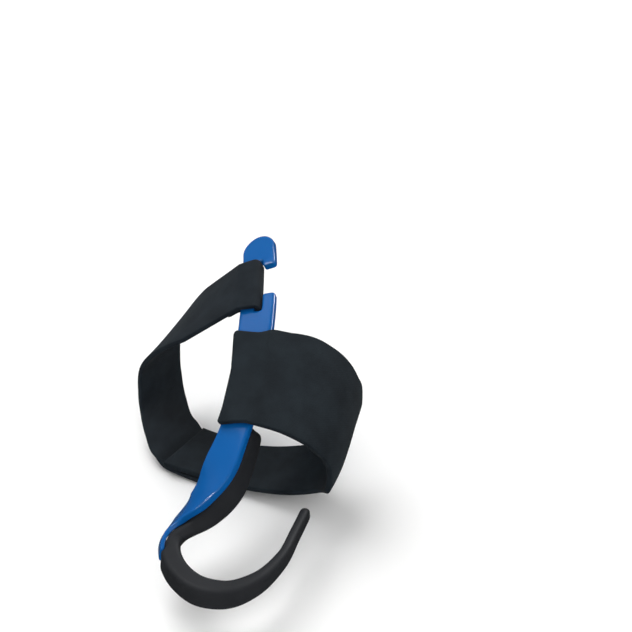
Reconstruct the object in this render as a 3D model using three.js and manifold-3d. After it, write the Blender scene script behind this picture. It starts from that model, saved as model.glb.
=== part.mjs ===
// Bunion corrector for a right foot: a plastic splint that runs from the instep between the first
// two toes, a foam toe hook that lines it and wraps the big toe, a wide band over the bunion and
// a narrow strap that closes the loop under the sole and through the splint's slot.
// Millimetres. X points to the inner side of the foot, Y to the heel, Z up.
import * as THREE from 'three';
import Module from 'manifold-3d';

const wasm = await Module();
wasm.setup();

// Foot that the corrector is shaped to
const footReach = 120;        // front of the big toe back to the end of the splint
const ballWidth = 88;         // across the ball of the foot
const instepHeight = 60;      // sole to the instep, one reach behind the toe

// Splint
const splintWidth = 11.4;
const splintThickness = 2.4;
const splintBevel = 0.7;
const splintLength = 124;     // along its centre line, tab end to toe tip
const tipTaper = 26;          // stretch over which the blade thins to its tip
const tipThickness = 1.1;
const slotStart = 12.1;       // tab end to the slot
const slotWidth = 2.5;
const slotOffset = 0.25;      // slot centre towards the inner side
const mouthLength = 12.2;     // side opening between the two prongs
const mouthStart = 14.7;

// Wide band
const bandWidth = 32;
const bandThickness = 2;
const bandOverhang = -0.6;    // past the splint's outer edge, at the front corner
const bandSlant = 0.5;        // more overhang at the rear corner
const bandCorner = 1.1;
const bandRamp = 12;          // fabric runs from the splint's edge to the foot over this width

// Narrow strap
const strapWidth = 20.6;
const strapThickness = 1.6;
const tailLength = 5;         // folded end under the strap, past the splint's edge
const tailInset = 3.6;        // the folded end is narrower on each side
const strapRamp = 5;          // over the end of the band
const landing = 28;           // strap comes down to the foot past the folded end
const seamLap = 15;           // strap sewn over the end of the band

// Foam toe hook
const foamThickness = 4.6;    // behind the tip of the blade
const hookHeight = 9.4;       // at the tip of the toe
const armThickness = 2.9;     // at the free end
const armHeight = 4.9;
const armStart = 22;          // end of the blade to where the hook starts to thin
const armRun = 35;            // stretch over which it thins
const foamStart = 76;         // tab end to the foam, along the splint
const foamCorner = 2.8;       // corners of that end
const foamEdge = 1.8;         // rounding of the foam's edges

// Clearances
const fitGap = 0.35;          // between pieces that touch
const liningGap = 0.5;        // foam to the twisted blade
const skinGap = 0.4;          // between the foot form and the fabric
const slotPlay = 0.5;         // strap edge to the slot's end

// Smooth curve through rows of numbers, one value at a time
function curveThrough(keys, values) {
  const last = keys.length - 1;
  const slopes = keys.map((_, i) => {
    const a = Math.max(i - 1, 0);
    const b = Math.min(i + 1, last);
    return (values[b] - values[a]) / (keys[b] - keys[a]);
  });
  return (key) => {
    let i = 0;
    while (i < last - 1 && key > keys[i + 1]) i += 1;
    const h = keys[i + 1] - keys[i];
    const u = Math.min(Math.max((key - keys[i]) / h, 0), 1);
    const u2 = u * u;
    const u3 = u2 * u;
    return (2 * u3 - 3 * u2 + 1) * values[i] + (u3 - 2 * u2 + u) * h * slopes[i]
      + (3 * u2 - 2 * u3) * values[i + 1] + (u3 - u2) * h * slopes[i + 1];
  };
}

const smooth = (u) => THREE.MathUtils.smoothstep(u, 0, 1);
const mix = THREE.MathUtils.lerp;
const shares = (count) => Array.from({ length: count + 1 }, (_, i) => i / count);

// Foot form: back is a share of the reach; inner, outer and crest of the ball width;
// top, waist, flank and arch of the instep height. Waist and flank are the heights of the widest
// point on the inner and the outer side
const formRows = [
  { back: 0.25, inner: 0.398, outer: -0.455, crest: 0.227, top: 0.433, waist: 0.183, flank: 0.183, arch: 0 },
  { back: 0.375, inner: 0.422, outer: -0.523, crest: 0.205, top: 0.533, waist: 0.234, flank: 0.2, arch: 0 },
  { back: 0.5, inner: 0.423, outer: -0.505, crest: 0.182, top: 0.633, waist: 0.297, flank: 0.217, arch: 0.03 },
  { back: 0.625, inner: 0.391, outer: -0.475, crest: 0.159, top: 0.733, waist: 0.387, flank: 0.233, arch: 0.09 },
  { back: 0.75, inner: 0.352, outer: -0.46, crest: 0.125, top: 0.817, waist: 0.454, flank: 0.267, arch: 0.17 },
  { back: 0.875, inner: 0.313, outer: -0.447, crest: 0.091, top: 0.908, waist: 0.504, flank: 0.317, arch: 0.23 },
  { back: 1, inner: 0.29, outer: -0.435, crest: 0.068, top: 1, waist: 0.554, flank: 0.367, arch: 0.27 },
];
const formKeys = formRows.map((row) => row.back);
const formCurve = (name, size) => {
  const curve = curveThrough(formKeys, formRows.map((row) => row[name]));
  return (y) => size * curve(y / footReach);
};
const form = {
  inner: formCurve('inner', ballWidth),
  outer: formCurve('outer', ballWidth),
  crest: formCurve('crest', ballWidth),
  top: formCurve('top', instepHeight),
  waist: formCurve('waist', instepHeight),
  flank: formCurve('flank', instepHeight),
  arch: formCurve('arch', instepHeight),
};
const roundness = { topInner: 1.9, topOuter: 2.3, soleInner: 2.2, soleOuter: 2.9 };
const crestPull = 2.2;
const archWaist = 1.5;         // inward for each unit that the arch rises

// Point of the foot form at an angle round the section (0 inner side, 90 instep, 180 outer side)
function formPoint(angle, y) {
  const a = THREE.MathUtils.degToRad(angle);
  const c = Math.cos(a);
  const s = Math.sin(a);
  const above = s >= 0;
  const side = c > 0 ? 'Inner' : 'Outer';
  const power = 2 / roundness[(above ? 'top' : 'sole') + side];
  const rise = Math.abs(s) ** power;
  const centre = (form.inner(y) + form.outer(y)) / 2;
  const half = (form.inner(y) - form.outer(y)) / 2;
  let x = centre + half * Math.sign(c) * Math.abs(c) ** power;
  const widest = mix(form.flank(y), form.waist(y), Math.max(c, 0));
  let z = widest;
  if (above) {
    x += (form.crest(y) - centre) * Math.abs(s) ** crestPull;
    z += (form.top(y) - widest) * rise;
  } else {
    const raised = form.arch(y) * Math.max((x - centre) / half, 0) * Math.abs(s);
    x -= archWaist * raised;
    z += raised - widest * rise;
  }
  return new THREE.Vector3(x, y, z);
}

function formNormal(angle, y) {
  const step = 0.5;
  const round = formPoint(angle + step, y).sub(formPoint(angle - step, y));
  const back = formPoint(angle, y + step).sub(formPoint(angle, y - step));
  return back.cross(round).normalize();
}

// Spine of the splint and the toe hook, from the tab to the hook's free end: side is a share of
// the ball width, back of the reach, up of the instep height, and twist is in degrees
const spineRows = [
  { side: -0.204, back: 0.924, up: 0.928, twist: 27 },
  { side: -0.132, back: 0.84, up: 0.895, twist: 20 },
  { side: -0.043, back: 0.723, up: 0.837, twist: 12 },
  { side: 0.019, back: 0.626, up: 0.767, twist: 9 },
  { side: 0.085, back: 0.512, up: 0.668, twist: 7 },
  { side: 0.132, back: 0.391, up: 0.573, twist: 7 },
  { side: 0.144, back: 0.315, up: 0.492, twist: 12 },
  { side: 0.14, back: 0.25, up: 0.405, twist: 20 },
  { side: 0.113, back: 0.2, up: 0.323, twist: 27 },
  { side: 0.078, back: 0.153, up: 0.25, twist: 40 },
  { side: 0.065, back: 0.1, up: 0.211, twist: 62 },
  { side: 0.11, back: 0.042, up: 0.197, twist: 82 },
  { side: 0.187, back: -0.001, up: 0.179, twist: 90 },
  { side: 0.294, back: -0.022, up: 0.17, twist: 90 },
  { side: 0.396, back: 0.004, up: 0.166, twist: 90 },
  { side: 0.453, back: 0.074, up: 0.167, twist: 90 },
  { side: 0.465, back: 0.173, up: 0.173, twist: 90 },
  { side: 0.443, back: 0.266, up: 0.18, twist: 90 },
  { side: 0.419, back: 0.357, up: 0.186, twist: 90 },
];
const spineCurve = new THREE.CatmullRomCurve3(
  spineRows.map((row) => new THREE.Vector3(
    row.side * ballWidth,
    row.back * footReach,
    row.up * instepHeight,
  )),
  false,
  'centripetal',
);
spineCurve.arcLengthDivisions = 600;
const spineLength = spineCurve.getLength();
const rowDistance = spineRows.map((_, i) => {
  const share = i / (spineRows.length - 1);
  return spineCurve.getLengths()[Math.round(share * spineCurve.arcLengthDivisions)];
});
const twistAt = curveThrough(rowDistance, spineRows.map((row) => row.twist));

// Frame of the spine at a distance from the tab end: along, across and outward
function spineFrame(distance) {
  const share = Math.min(Math.max(distance / spineLength, 0), 1);
  const along = spineCurve.getTangentAt(share).normalize();
  const level = new THREE.Vector3(0, 0, 1).cross(along).normalize();
  const upright = along.clone().cross(level).normalize();
  const twist = THREE.MathUtils.degToRad(twistAt(distance));
  const across = level.clone().multiplyScalar(Math.cos(twist));
  across.addScaledVector(upright, Math.sin(twist));
  const outward = upright.clone().multiplyScalar(Math.cos(twist));
  outward.addScaledVector(level, -Math.sin(twist));
  return { centre: spineCurve.getPointAt(share), across, outward };
}

function spinePoint(frame, across, outward) {
  return frame.centre.clone()
    .addScaledVector(frame.across, across)
    .addScaledVector(frame.outward, outward);
}

// Closed body lofted through closed sections with the same number of points
function loft(sections) {
  const count = sections[0].length;
  const positions = sections.flat().flatMap((p) => [p.x, p.y, p.z]);
  const index = [];
  for (let i = 0; i < sections.length - 1; i += 1) {
    for (let j = 0; j < count; j += 1) {
      const a = i * count + j;
      const b = i * count + ((j + 1) % count);
      index.push(a, b, b + count, a, b + count, a + count);
    }
  }
  [0, sections.length - 1].forEach((row) => {
    const middle = new THREE.Vector3();
    sections[row].forEach((p) => middle.addScaledVector(p, 1 / count));
    const hub = positions.length / 3;
    positions.push(middle.x, middle.y, middle.z);
    for (let j = 0; j < count; j += 1) {
      const a = row * count + j;
      const b = row * count + ((j + 1) % count);
      if (row === 0) index.push(hub, b, a);
      else index.push(hub, a, b);
    }
  });
  const geometry = new THREE.BufferGeometry();
  geometry.setAttribute('position', new THREE.Float32BufferAttribute(positions, 3));
  geometry.setIndex(index);
  if (signedVolume(geometry) < 0) {
    for (let i = 0; i < index.length; i += 3) index.splice(i, 3, index[i], index[i + 2], index[i + 1]);
    geometry.setIndex(index);
  }
  return geometry;
}

function signedVolume(geometry) {
  const at = geometry.attributes.position;
  const index = geometry.index.array;
  const [a, b, c] = [new THREE.Vector3(), new THREE.Vector3(), new THREE.Vector3()];
  let sum = 0;
  for (let i = 0; i < index.length; i += 3) {
    a.fromBufferAttribute(at, index[i]);
    b.fromBufferAttribute(at, index[i + 1]);
    c.fromBufferAttribute(at, index[i + 2]);
    sum += a.dot(b.cross(c)) / 6;
  }
  return sum;
}

function toSolid(geometry) {
  return new wasm.Manifold(new wasm.Mesh({
    numProp: 3,
    vertProperties: new Float32Array(geometry.attributes.position.array),
    triVerts: new Uint32Array(geometry.index.array),
  }));
}

function toGeometry(solid) {
  const mesh = solid.getMesh();
  const geometry = new THREE.BufferGeometry();
  geometry.setAttribute('position', new THREE.Float32BufferAttribute(mesh.vertProperties, 3));
  geometry.setIndex([...mesh.triVerts]);
  return geometry;
}

// Splint: a bevelled strip with a round tab end and a narrow tip, cut by the slot and its mouth
const splintStep = 2.6;
const splintColumns = 5;

// Width as a share of the splint's width: it narrows to a neck at the front edge of the band,
// widens over the blade and narrows to the tip. Run is a share of the splint's length
const widthRows = [
  { run: 0, width: 1 },
  { run: 0.4, width: 1 },
  { run: 0.5, width: 0.95 },
  { run: 0.58, width: 0.88 },
  { run: 0.63, width: 0.89 },
  { run: 0.67, width: 0.97 },
  { run: 0.71, width: 1.1 },
  { run: 0.75, width: 1.18 },
  { run: 0.79, width: 1.22 },
  { run: 0.825, width: 1.18 },
  { run: 0.855, width: 1.03 },
  { run: 0.89, width: 0.72 },
  { run: 0.925, width: 0.55 },
  { run: 0.96, width: 0.49 },
  { run: 1, width: 0.46 },
];
const widthAt = curveThrough(widthRows.map((row) => row.run), widthRows.map((row) => row.width));
const splintHalf = (distance) => {
  const fromTab = Math.min(distance, splintWidth / 2);
  const round = Math.sqrt((splintWidth / 2) ** 2 - (splintWidth / 2 - fromTab) ** 2);
  return round * widthAt(distance / splintLength);
};

const thicknessAt = (distance) => mix(
  splintThickness,
  tipThickness,
  smooth((distance - splintLength + tipTaper) / tipTaper),
);

const splintOuter = splintThickness / 2;
const splintInner = (distance) => splintOuter - thicknessAt(distance);

function splintSection(distance) {
  const frame = spineFrame(distance);
  const b = (splintBevel * thicknessAt(distance)) / splintThickness;
  const w = Math.max(splintHalf(distance), b + 0.2);
  const inner = splintInner(distance);
  const across = shares(splintColumns).map((share) => mix(w - b, b - w, share));
  return [
    [w, inner + b], [w, splintOuter - b],
    ...across.map((x) => [x, splintOuter]),
    [-w, splintOuter - b], [-w, inner + b],
    ...across.reverse().map((x) => [x, inner]),
  ].map(([x, outward]) => spinePoint(frame, x, outward));
}

function stepsBetween(start, end, step) {
  const count = Math.ceil(Math.abs(end - start) / step);
  return Array.from({ length: count + 1 }, (_, i) => mix(start, end, i / count));
}

const slotLength = strapWidth + 2 * slotPlay;

function makeSplint() {
  const roundEnd = [0.1, 0.43, 0.95, 1.8, 3];
  const distances = [
    ...roundEnd,
    ...stepsBetween(splintWidth / 2, splintLength, splintStep),
  ];
  const cutter = (start, length, low, high) => loft(
    stepsBetween(start, start + length, splintStep).map((distance) => {
      const frame = spineFrame(distance);
      const t = splintThickness;
      return [[low, -t], [high, -t], [high, t], [low, t]]
        .map(([across, outward]) => spinePoint(frame, across, outward));
    }),
  );
  const slotLow = slotOffset - slotWidth / 2;
  const slot = cutter(slotStart, slotLength, slotLow, slotLow + slotWidth);
  const mouth = cutter(mouthStart, mouthLength, slotOffset, splintWidth);
  const strip = toSolid(loft(distances.map(splintSection)));
  return toGeometry(strip.subtract(toSolid(slot)).subtract(toSolid(mouth)));
}

// Toe hook: foam along the inner face of the blade, then round the toe to a thin free end
const foamStep = 2.4;
const foamColumns = 4;
const foamTip = 0.6;

// Wall of the foam on the blade, as a share of its thickness at the toe
const foamRows = [
  { run: 0, wall: 1.14 },
  { run: 0.08, wall: 1.5 },
  { run: 0.2, wall: 1.76 },
  { run: 0.34, wall: 1.78 },
  { run: 0.48, wall: 1.62 },
  { run: 0.6, wall: 1.38 },
  { run: 0.68, wall: 1.18 },
  { run: 0.76, wall: 1.02 },
  { run: 1, wall: 1 },
];
const foamWall = curveThrough(foamRows.map((row) => row.run), foamRows.map((row) => row.wall));
const hookStart = splintLength + fitGap;
const hookThickness = foamThickness + liningGap + tipThickness;

function foamSection(distance) {
  const frame = spineFrame(distance);
  const free = smooth((distance - hookStart) / (spineLength - hookStart));
  const run = (distance - foamStart) / (splintLength - foamStart);
  const grown = smooth(run);
  const bare = distance >= hookStart;
  const outer = bare ? splintOuter : splintInner(distance) - liningGap;
  const thin = smooth((distance - hookStart - armStart) / armRun);
  const wall = bare ? mix(hookThickness, armThickness, thin) : foamWall(run) * foamThickness;
  const inner = outer - wall;
  const full = bare ? mix(hookHeight, armHeight, free) : mix(splintWidth, hookHeight, grown);
  const inset = (left, radius) => radius - Math.sqrt(radius ** 2 - Math.max(radius - left, 0) ** 2);
  const ends = inset(distance - foamStart, foamCorner) + inset(spineLength - distance, full / 2);
  const half = Math.max(full / 2 - ends, foamTip);
  const edge = Math.min(foamEdge, half * 0.8, (outer - inner) * 0.4);
  const corner = [0, 30, 60, 90].map((angle) => THREE.MathUtils.degToRad(angle)).map((a) => [
    half - edge + edge * Math.sin(a),
    edge * (1 - Math.cos(a)),
  ]);
  const upper = [
    ...corner.map(([x, drop]) => [x, outer - drop]),
    ...corner.slice().reverse().map(([x, drop]) => [x, inner + drop]),
  ];
  const lower = upper.slice().reverse().map(([x, outward]) => [-x, outward]);
  const middleRow = (level) => shares(foamColumns).slice(1, -1)
    .map((share) => [mix(half - edge, edge - half, share), level]);
  return [
    ...upper, ...middleRow(inner), ...lower, ...middleRow(outer).reverse(),
  ].map(([x, outward]) => spinePoint(frame, x, outward));
}

function makeToeHook() {
  const nearEnd = [0.1, 0.6, 1.4, 2.8];
  const distances = [
    ...nearEnd.map((step) => foamStart + step),
    ...stepsBetween(foamStart + 4.6, splintLength, foamStep),
    ...stepsBetween(hookStart, spineLength - 2.6, foamStep),
    ...nearEnd.slice(0, 3).reverse().map((step) => spineLength - step),
  ];
  return loft(distances.map(foamSection));
}

// Frames along the splint, for fabric that lies over it
const splintSamples = stepsBetween(0, splintLength, 2).map((distance) => ({
  distance,
  ...spineFrame(distance),
}));

function nearestFrame(point) {
  const gap = (frame) => frame.centre.distanceToSquared(point);
  return splintSamples.reduce((best, frame) => (gap(frame) < gap(best) ? frame : best));
}

// Where the inner face of the band lies: on the form, or over the splint and down a ramp
function bandPoint(point, normal) {
  const nearest = nearestFrame(point);
  const offset = point.clone().sub(nearest.centre);
  const facing = normal.dot(nearest.outward);
  const beyond = Math.abs(offset.dot(nearest.across)) - splintHalf(nearest.distance) - fitGap;
  const onSplint = facing > 0.5 ? (1 - THREE.MathUtils.clamp(beyond / bandRamp, 0, 1)) ** 2 : 0;
  const direction = normal.clone().lerp(nearest.outward, onSplint).normalize();
  const need = splintThickness / 2 + fitGap - offset.dot(nearest.outward);
  const height = mix(skinGap, Math.max(need, skinGap), onSplint);
  return { inner: point.clone().addScaledVector(direction, height), direction };
}

// Where a line round the form, at a given Y, passes a given distance outside the splint's middle
function angleBeside(y, outside) {
  let low = 80;
  let high = 150;
  for (let i = 0; i < 24; i += 1) {
    const angle = (low + high) / 2;
    const point = formPoint(angle, y);
    const nearest = nearestFrame(point);
    const across = point.sub(nearest.centre).dot(nearest.across);
    if (across > -outside) low = angle;
    else high = angle;
  }
  return (low + high) / 2;
}

// Strip of fabric on the form: rows give its middle as a share of the reach and its width as a
// share of the named width, at angles round the form. It starts on a slanted line
function fabricCourse(rows, width, startAngleAt, skewReach) {
  const keys = rows.map((row) => row.angle);
  const direction = Math.sign(keys.at(-1) - keys[0]);
  const scaled = keys.map((angle) => direction * angle);
  const middle = curveThrough(scaled, rows.map((row) => row.middle * footReach));
  const span = curveThrough(scaled, rows.map((row) => row.width * width));
  const yAt = (angle, v) => middle(direction * angle) + (v - 0.5) * span(direction * angle);
  const start = startAngleAt(yAt(keys[0], 0.5));
  const place = (angle, v, inset = 0) => {
    const low = yAt(angle, 0) + inset;
    const high = yAt(angle, 1) - inset;
    const y = mix(low, high, v);
    const skew = startAngleAt(mix(yAt(start, 0), yAt(start, 1), v)) - start;
    const fade = 1 - smooth((direction * (angle - start)) / skewReach);
    return { angle: angle + skew * fade, y };
  };
  return { start, end: keys.at(-1), direction, place };
}

// Closed body between an inner and an outer grid of points, one row for each station
function sheetBody(stations) {
  return loft(stations.map(({ outer, inner }) => [...outer, ...inner.slice().reverse()]));
}

// Wide band: from its end on the splint over the inner side of the ball and under the sole
const bandRows = [
  { angle: 105, middle: 0.492, width: 0.94 },
  { angle: 95, middle: 0.509, width: 0.897 },
  { angle: 90, middle: 0.521, width: 0.96 },
  { angle: 78, middle: 0.536, width: 1.004 },
  { angle: 62, middle: 0.542, width: 1 },
  { angle: 42, middle: 0.552, width: 0.98 },
  { angle: 26, middle: 0.563, width: 0.942 },
  { angle: 12, middle: 0.571, width: 0.934 },
  { angle: -10, middle: 0.548, width: 0.827 },
  { angle: -30, middle: 0.549, width: 0.6 },
  { angle: -60, middle: 0.552, width: 0.62 },
  { angle: -112, middle: 0.542, width: 0.67 },
];
const bandStep = 5;           // degrees
const overSplintStep = 1.8;
const overSplintReach = 26;
const bandColumns = 8;
const bandSkewReach = 40;

function makeBand() {
  const frontCorner = bandRows[0].middle * footReach - bandWidth / 2;
  const outside = (y) => splintWidth / 2 + bandOverhang
    + bandSlant * ((y - frontCorner) / bandWidth);
  const startAngle = (y) => angleBeside(y, outside(y));
  const course = fabricCourse(bandRows, bandWidth, startAngle, bandSkewReach);
  const origin = formPoint(course.start, bandRows[0].middle * footReach);
  const angles = [
    ...[0, 0.6].map((step) => course.start - step),
    ...stepsBetween(course.start - 2, course.start - overSplintReach, overSplintStep),
    ...stepsBetween(course.start - overSplintReach, course.end, bandStep).slice(1),
  ];
  return sheetBody(angles.map((angle) => {
    const gone = formPoint(angle, bandRows[0].middle * footReach).distanceTo(origin);
    const left = Math.max(bandCorner - gone, 0);
    const inset = angle > 0 ? bandCorner - Math.sqrt(bandCorner ** 2 - left ** 2) : 0;
    const inner = [];
    const outer = [];
    shares(bandColumns).forEach((v) => {
      const at = course.place(angle, v, inset);
      const point = formPoint(at.angle, at.y);
      const normal = formNormal(at.angle, at.y);
      const place = bandPoint(point, normal);
      inner.push(place.inner);
      outer.push(place.inner.clone().addScaledVector(place.direction, bandThickness));
    });
    return { inner, outer };
  }));
}

// Narrow strap: a folded tail under the splint's outer rail, up through the slot, back over the
// rail and round the outer side of the foot to the seam under the sole
const strapRows = [
  { angle: 115, middle: 0.753, width: 0.98 },
  { angle: 124, middle: 0.736, width: 1.065 },
  { angle: 137, middle: 0.712, width: 1.28 },
  { angle: 150, middle: 0.7, width: 1.25 },
  { angle: 165, middle: 0.685, width: 1.117 },
  { angle: 180, middle: 0.673, width: 1.034 },
  { angle: 200, middle: 0.652, width: 1.034 },
  { angle: 220, middle: 0.61, width: 1.034 },
  { angle: 240, middle: 0.557, width: 1.034 },
  { angle: 270, middle: 0.542, width: 1.034 },
];
const strapStep = 5;          // degrees
const strapColumns = 4;
const bridgeStep = 2;
const strapSkewReach = 35;
const tailBlend = 9;          // folded end leaves the plane of the splint over this length

function makeStrap() {
  const outside = splintWidth / 2;
  const half = strapThickness / 2;
  const course = fabricCourse(strapRows, strapWidth, (y) => angleBeside(y, outside), strapSkewReach);
  const seamAngle = 360 + bandRows.at(-1).angle;
  const seamBack = bandRows.at(-1).middle * footReach;
  const perDegree = formPoint(seamAngle, seamBack).distanceTo(formPoint(seamAngle + 1, seamBack));
  const lapEnd = seamAngle + seamLap / perDegree;
  const stationAt = (v) => slotStart + slotPlay + (1 - v) * strapWidth;
  const level = splintThickness / 2 + fitGap + half;
  const onRail = (v, across, outward) => spinePoint(spineFrame(stationAt(v)), across, outward);
  const perStart = formPoint(course.start, strapRows[0].middle * footReach)
    .distanceTo(formPoint(course.start + 1, strapRows[0].middle * footReach));

  // Folded end: from the plane of the splint down to the form
  const underTail = (v, gone) => {
    const at = course.place(course.start + gone / perStart, v);
    const onForm = formPoint(at.angle, at.y);
    onForm.addScaledVector(formNormal(at.angle, at.y), skinGap + half);
    return onRail(v, -outside - gone, -level).lerp(onForm, smooth(gone / tailBlend));
  };
  const overTail = skinGap + strapThickness + fitGap;
  const heightAt = (gone, angle) => {
    const afterTail = smooth((gone - tailLength) / landing);
    const toSeam = ((seamAngle - angle) * perDegree - fitGap) / strapRamp;
    const overBand = 1 - smooth(toSeam);
    return mix(overTail, skinGap, afterTail) + overBand * (bandThickness + fitGap);
  };
  const onFoot = (v, gone) => {
    const angle = course.start + gone / perStart;
    const at = course.place(angle, v);
    return formPoint(at.angle, at.y)
      .addScaledVector(formNormal(at.angle, at.y), heightAt(gone, angle) + half);
  };

  // Past the rail the strap is taut: straight until it touches its path on the foot
  const bridges = shares(strapColumns).map((v) => {
    const frame = spineFrame(stationAt(v));
    const from = spinePoint(frame, -outside, level);
    const rise = (gone) => {
      const run = onFoot(v, gone).sub(from);
      return -run.dot(frame.outward) / run.dot(frame.across);
    };
    const reach = stepsBetween(bridgeStep, tailLength + landing, bridgeStep)
      .reduce((best, gone) => (rise(gone) > rise(best) ? gone : best));
    return { from, reach, to: onFoot(v, reach) };
  });
  const rows = [];
  const row = (pointAt) => rows.push(shares(strapColumns).map(pointAt));
  const inset = tailInset / strapWidth;
  const narrowed = (v, share) => mix(share * inset, 1 - share * inset, v);
  [1, 0.75, 0.5, 0.3, 0.12].forEach((share) => {
    row((v) => underTail(narrowed(v, 1), share * tailLength));
  });
  const slotSide = slotOffset - slotWidth / 2 + fitGap + half;
  const bend = fitGap + half + 0.05;
  const railEdges = [-outside, slotSide - bend];
  [0, 0.25, 0.5, 0.75].forEach((share) => {
    row((v) => onRail(narrowed(v, 1 - share), mix(...railEdges, share), -level));
  });
  const quarter = [0, 0.25, 0.5, 0.75, 1].map((share) => (share * Math.PI) / 2);
  quarter.forEach((a) => row((v) => onRail(
    v,
    slotSide - bend + bend * Math.sin(a),
    -level + bend - bend * Math.cos(a),
  )));
  quarter.forEach((a) => row((v) => onRail(
    v,
    slotSide - bend + bend * Math.cos(a),
    level - bend + bend * Math.sin(a),
  )));
  [0.5, 0].forEach((share) => row((v) => onRail(v, mix(...railEdges, share), level)));
  const firstAngle = course.start + 1 / perStart;
  stepsBetween(firstAngle, lapEnd, strapStep).forEach((angle) => {
    const gone = (angle - course.start) * perStart;
    row((v, i) => {
      const { from, reach, to } = bridges[i];
      return gone < reach ? from.clone().lerp(to, gone / reach) : onFoot(v, gone);
    });
  });
  return sheetBody(thicken(rows, half));
}

// Two faces at a distance on each side of a grid of points
function thicken(rows, half) {
  const last = rows.length - 1;
  return rows.map((points, i) => {
    const inner = [];
    const outer = [];
    points.forEach((point, j) => {
      const along = rows[Math.min(i + 1, last)][j].clone().sub(rows[Math.max(i - 1, 0)][j]);
      const over = points[Math.min(j + 1, points.length - 1)].clone().sub(points[Math.max(j - 1, 0)]);
      const normal = along.cross(over).normalize();
      outer.push(point.clone().addScaledVector(normal, half));
      inner.push(point.clone().addScaledVector(normal, -half));
    });
    return { inner, outer };
  });
}

// The origin is the seat on the instep: under the splint, in the middle of the band
const seatDistance = 62;
const seat = spinePoint(spineFrame(seatDistance), 0, -splintThickness / 2);

const looks = {
  splint: { color: 0x1c5fae, roughness: 0.3, metalness: 0 },
  toe_hook: { color: 0x242628, roughness: 0.7, metalness: 0 },
  wide_band: { color: 0x1f262c, roughness: 0.9, metalness: 0 },
  narrow_strap: { color: 0x232b31, roughness: 0.9, metalness: 0 },
};

const corrector = new THREE.Group();
corrector.position.copy(seat).negate();
const addPiece = (name, geometry) => {
  const mesh = new THREE.Mesh(geometry, new THREE.MeshStandardMaterial(looks[name]));
  mesh.name = name;
  corrector.add(mesh);
};
addPiece('splint', makeSplint());
addPiece('toe_hook', makeToeHook());
addPiece('wide_band', makeBand());
addPiece('narrow_strap', makeStrap());

export default corrector;
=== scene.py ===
"""Looks of the bunion corrector: splint, foam toe hook, wide band and narrow strap.

Shapes are worked out in millimetres in the frame of the foot, with the toe tip at y = 0 and
the sole at z = 0, and are moved to the frame of the part when a mesh is made.
"""

import math

import bmesh
import bpy
import numpy as np
from mathutils import Matrix, Vector


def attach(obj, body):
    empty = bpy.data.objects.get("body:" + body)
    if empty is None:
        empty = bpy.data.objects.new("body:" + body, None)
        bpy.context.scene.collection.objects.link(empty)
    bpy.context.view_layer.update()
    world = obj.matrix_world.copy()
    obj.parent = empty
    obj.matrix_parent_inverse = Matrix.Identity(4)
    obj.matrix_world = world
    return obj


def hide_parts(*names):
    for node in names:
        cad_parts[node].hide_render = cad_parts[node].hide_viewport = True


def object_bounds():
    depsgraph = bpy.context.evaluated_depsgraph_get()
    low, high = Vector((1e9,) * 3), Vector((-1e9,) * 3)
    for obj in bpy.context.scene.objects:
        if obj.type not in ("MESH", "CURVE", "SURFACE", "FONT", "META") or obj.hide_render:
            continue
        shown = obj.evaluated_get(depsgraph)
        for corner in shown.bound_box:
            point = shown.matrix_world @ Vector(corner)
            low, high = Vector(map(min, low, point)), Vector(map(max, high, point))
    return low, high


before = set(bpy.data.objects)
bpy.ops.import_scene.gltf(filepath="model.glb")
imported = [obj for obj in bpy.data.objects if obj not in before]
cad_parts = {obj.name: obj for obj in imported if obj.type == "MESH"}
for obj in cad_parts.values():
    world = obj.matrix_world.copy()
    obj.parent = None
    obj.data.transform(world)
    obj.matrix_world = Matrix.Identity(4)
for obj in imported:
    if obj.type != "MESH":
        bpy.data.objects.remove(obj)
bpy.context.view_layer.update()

MM = 0.001
FOOT_REACH = 120.0
BALL_WIDTH = 88.0
INSTEP_HEIGHT = 60.0

SPLINT_WIDTH = 11.4
SPLINT_THICKNESS = 2.4
SPLINT_LENGTH = 124.0
EDGE_ROUNDING = 0.75
LINED_ROUNDING = 0.35
CROWN = 0.16
TIP_TAPER = 26.0
TIP_THICKNESS = 1.1
SLOT_START = 12.1
SLOT_WIDTH = 2.5
SLOT_OFFSET = 0.25
MOUTH_START = 14.7
MOUTH_LENGTH = 12.2
PRONG_RADIUS = 1.1
MOUTH_RADIUS = 0.9
SLOT_MOUTH_RADIUS = 0.5
SLOT_RADIUS = 0.7
TIP_RADIUS = 1.0

BAND_WIDTH = 32.0
BAND_THICKNESS = 2.0
BAND_OVERHANG = -0.6
BAND_SLANT = 0.5
BAND_CORNER = 1.1
BAND_RAMP = 12.0
BAND_SKEW_REACH = 40.0
BAND_ROUNDING = 0.5

STRAP_WIDTH = 20.6
STRAP_THICKNESS = 1.6
TAIL_LENGTH = 5.0
TAIL_INSET = 3.6
STRAP_RAMP = 5.0
LANDING = 28.0
STRAP_SKEW_REACH = 35.0
STRAP_ROUNDING = 0.35
TAIL_BLEND = 9.0
SEAM_LAP = 15.0

FOAM_THICKNESS = 4.6
HOOK_HEIGHT = 9.4
ARM_THICKNESS = 2.9
ARM_HEIGHT = 4.9
ARM_START = 22.0
ARM_RUN = 35.0
FOAM_START = 76.0
FOAM_SWELL = 1.5
FOAM_CORNER = 2.8
FOAM_EDGE = 1.8
FOAM_END = 1.6
FOAM_CUT = 0.5
FOAM_LEAN = 3.0
FOAM_LEAN_REACH = 12.0

FIT_GAP = 0.35
LINING_GAP = 0.3
SKIN_GAP = 0.4
SLOT_PLAY = 0.5
SEAT_DISTANCE = 62.0

ARC_ANGLES = (0, 18, 36, 54, 72, 90)


def smooth(u):
    u = min(max(u, 0.0), 1.0)
    return u * u * (3 - 2 * u)


def mix(a, b, u):
    return a + (b - a) * u


def shares(count):
    return [i / count for i in range(count + 1)]


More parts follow.
